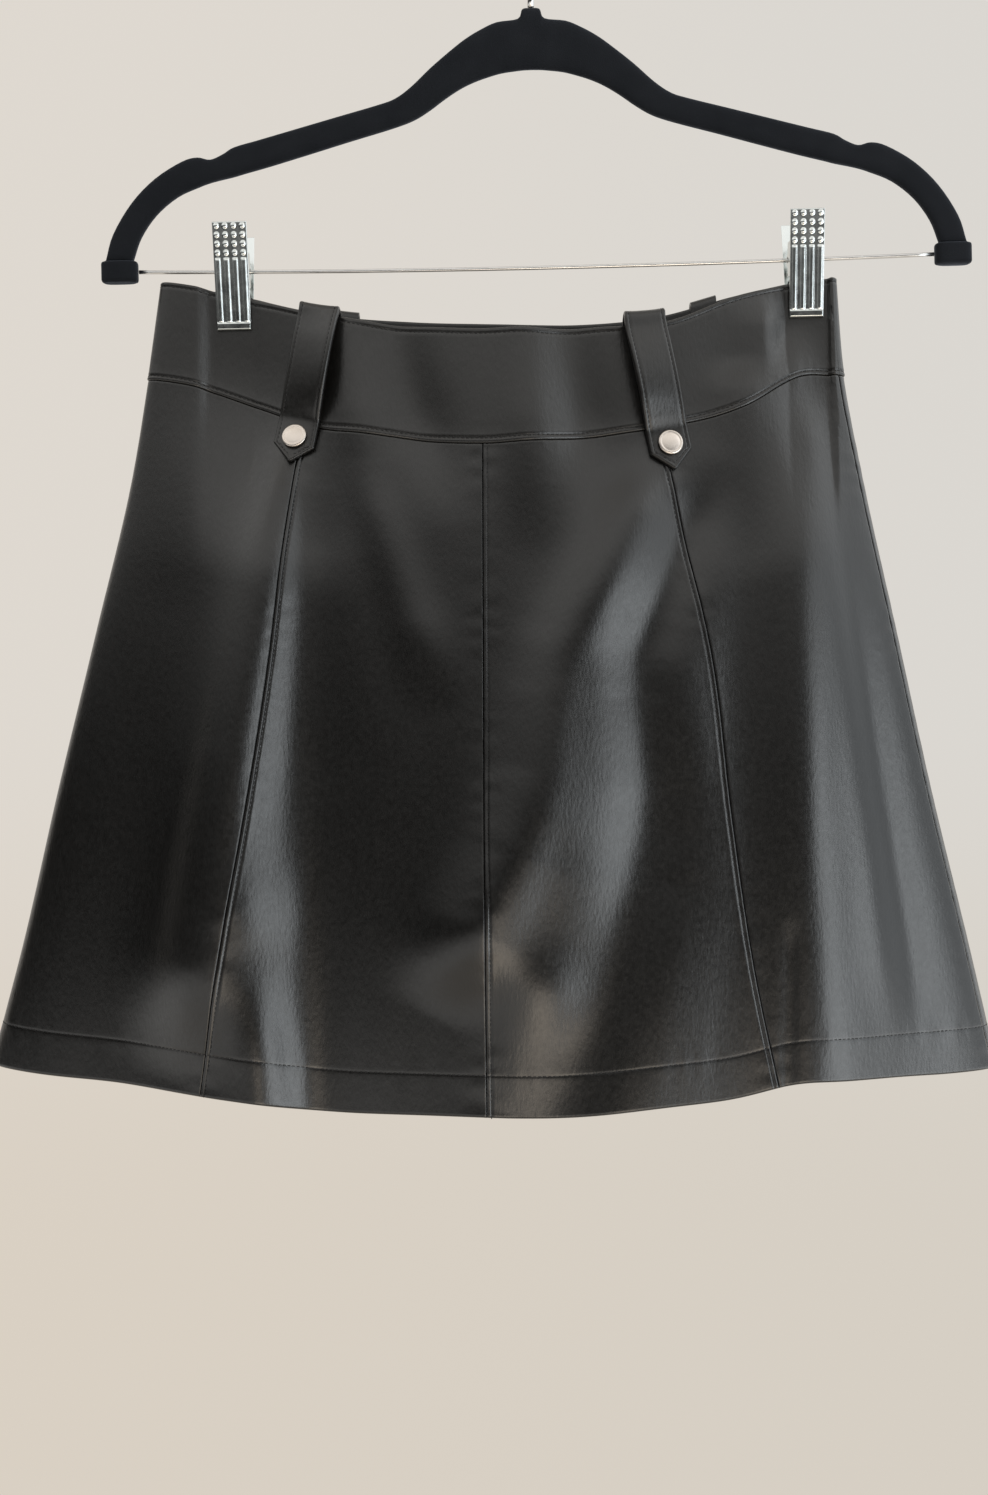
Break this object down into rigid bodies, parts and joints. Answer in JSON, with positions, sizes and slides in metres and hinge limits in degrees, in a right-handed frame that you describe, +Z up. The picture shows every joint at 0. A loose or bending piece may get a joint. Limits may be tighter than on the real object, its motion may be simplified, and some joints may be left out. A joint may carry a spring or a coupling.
{
  "type": "leather mini skirt on a clip hanger",
  "caption": "A-line mini skirt of black imitation leather with wide studded belt loops, clipped by its waistband to a velvet hanger with a wire hook and bar.",
  "frame": {"origin": "inner top of the hanger's hook, where it rests on the rail", "axes": "+X to the right of the skirt's front, +Y from its front to its back, +Z up"},
  "size_m": [0.5121, 0.1097, 0.6145],
  "materials": {
    "leather": "soft satin, fine grain",
    "leather_trim": "soft satin, fine grain",
    "stud_metal": "domed, lightly brushed",
    "velvet": "flocked velvet",
    "wire_metal": "bright plated wire",
    "clip_metal": "bright plated, pressed ribs"
  },
  "bodies": {
    "root": {"front_side_left": "leather", "front_centre_left": "leather", "front_centre_right": "leather", "front_side_right": "leather", "back_right": "leather", "back_left": "leather", "waistband_front": "leather_trim", "waistband_back": "leather_trim", "belt_loop_front_left": "leather_trim", "belt_loop_front_right": "leather_trim", "belt_loop_back_left": "leather_trim", "belt_loop_back_right": "leather_trim", "stud_left": "stud_metal", "stud_right": "stud_metal", "hanger_body": "velvet", "hanger_hook": "wire_metal", "hanger_bar": "wire_metal", "clip_left_spring": "wire_metal", "clip_right_spring": "wire_metal", "clip_left_front": "clip_metal", "clip_left_back": "clip_metal", "clip_right_front": "clip_metal", "clip_right_back": "clip_metal"}
  },
  "joints": []
}
